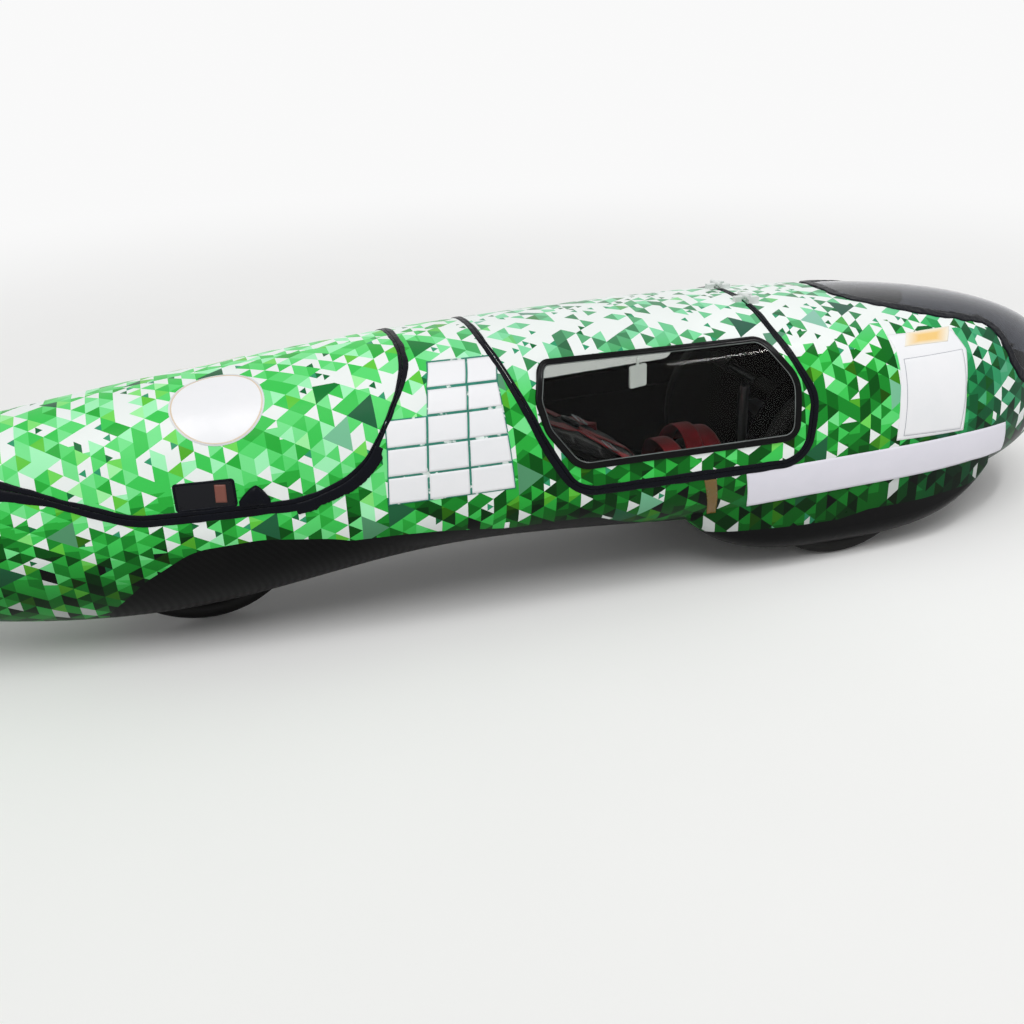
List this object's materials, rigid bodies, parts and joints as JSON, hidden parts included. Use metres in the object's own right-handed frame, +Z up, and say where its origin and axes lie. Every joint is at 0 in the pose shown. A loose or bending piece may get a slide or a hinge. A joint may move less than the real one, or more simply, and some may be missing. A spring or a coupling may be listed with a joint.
{
  "type": "streamlined economy-run three-wheeler",
  "caption": "Low teardrop three-wheeled economy-run vehicle with clear nose canopy, windowed lift-up hatch, lift-up tail lid and a steered rear wheel.",
  "frame": {"origin": "on the ground below the middle of the body", "axes": "+X towards the nose, +Y to the left, +Z up"},
  "size_m": [3.24, 0.6596, 0.6274],
  "materials": {
    "green_wrap": "glossy printed vinyl wrap, triangle mosaic in greens, white and black",
    "bare_carbon": "lacquered carbon cloth",
    "clear_canopy": "clear thermoformed acrylic, lightly scuffed",
    "black_tape": "black adhesive tape and rubber edging",
    "black_plastic": "matt black plastic",
    "mirror_white": "white plastic mirror case",
    "zinc_steel": "zinc plated steel",
    "floor_board": "foam cored board, dark",
    "bare_aluminium": "milled aluminium",
    "black_cushion": "black foam cushion cloth",
    "red_webbing": "red harness webbing",
    "tyre": "low resistance slick tyre",
    "wheel_black": "carbon disc wheel",
    "motor_case": "cast hub motor case",
    "battery_case": "sealed battery box",
    "bar_black": "black bar with foam grips"
  },
  "bodies": {
    "chassis": {"hull": "green_wrap", "belly_pan": "bare_carbon", "nose_canopy": "clear_canopy", "canopy_tape": "black_tape", "door_tape": "black_tape", "lid_tape": "black_tape", "door_hinge_fixed": "zinc_steel", "lid_hinge_fixed": "zinc_steel", "floor": "floor_board", "bulkhead": "bare_carbon", "foot_plate": "black_plastic", "tail_tray": "bare_carbon", "battery": "battery_case", "seat": "bare_carbon", "back_cushion": "black_cushion", "base_cushion": "black_cushion", "headrest": "black_cushion", "harness": "red_webbing", "steering_column": "bare_aluminium", "front_beam": "bare_aluminium", "wheel_guards": "bare_carbon", "tail_frame": "bare_aluminium", "tow_eye": "bare_aluminium"},
    "hatch": {"door": "green_wrap", "window_left": "clear_canopy", "window_right": "clear_canopy", "window_frames": "black_tape", "mirrors": "mirror_white", "door_hinge_moving": "zinc_steel"},
    "lid": {"tail_lid": "green_wrap", "service_panel": "black_plastic", "lid_latches": "black_plastic", "lid_hinge_moving": "zinc_steel"},
    "front_left_roller": {"front_tyre_left": "tyre", "front_wheel_left": "wheel_black"},
    "front_right_roller": {"front_tyre_right": "tyre", "front_wheel_right": "wheel_black"},
    "fork": {"rear_fork": "bare_aluminium"},
    "rear_roller": {"rear_tyre": "tyre", "rear_wheel": "wheel_black", "hub_motor": "motor_case"},
    "handlebar": {"steering_bar": "bar_black"}
  },
  "joints": [
    {"name": "hatch_hinge", "type": "hinge", "parent": "chassis", "child": "hatch", "pos_m": [0.666, 0, 0.62254], "axis": [0, 1, 0], "range_deg": [0, 65]},
    {"name": "lid_hinge", "type": "hinge", "parent": "chassis", "child": "lid", "pos_m": [-1.206, 0, 0.52146], "axis": [0, -1, 0], "range_deg": [0, 60]},
    {"name": "front_left_roll", "type": "hinge", "parent": "chassis", "child": "front_left_roller", "pos_m": [0.86, 0.25, 0.239], "axis": [0, 1, 0], "continuous": true},
    {"name": "front_right_roll", "type": "hinge", "parent": "chassis", "child": "front_right_roller", "pos_m": [0.86, -0.25, 0.239], "axis": [0, 1, 0], "continuous": true},
    {"name": "rear_steer", "type": "hinge", "parent": "chassis", "child": "fork", "pos_m": [-0.58, 0, 0.51], "axis": [0, 0, 1], "range_deg": [-12, 12]},
    {"name": "rear_roll", "type": "hinge", "parent": "fork", "child": "rear_roller", "pos_m": [-0.64, 0, 0.239], "axis": [0, 1, 0], "continuous": true},
    {"name": "bar_turn", "type": "hinge", "parent": "chassis", "child": "handlebar", "pos_m": [0.72, 0, 0.402], "axis": [0, 0, 1], "range_deg": [-24, 24]}
  ],
  "couplings": [
    {"joint": "bar_turn", "follows": "rear_steer", "ratio": -2}
  ]
}
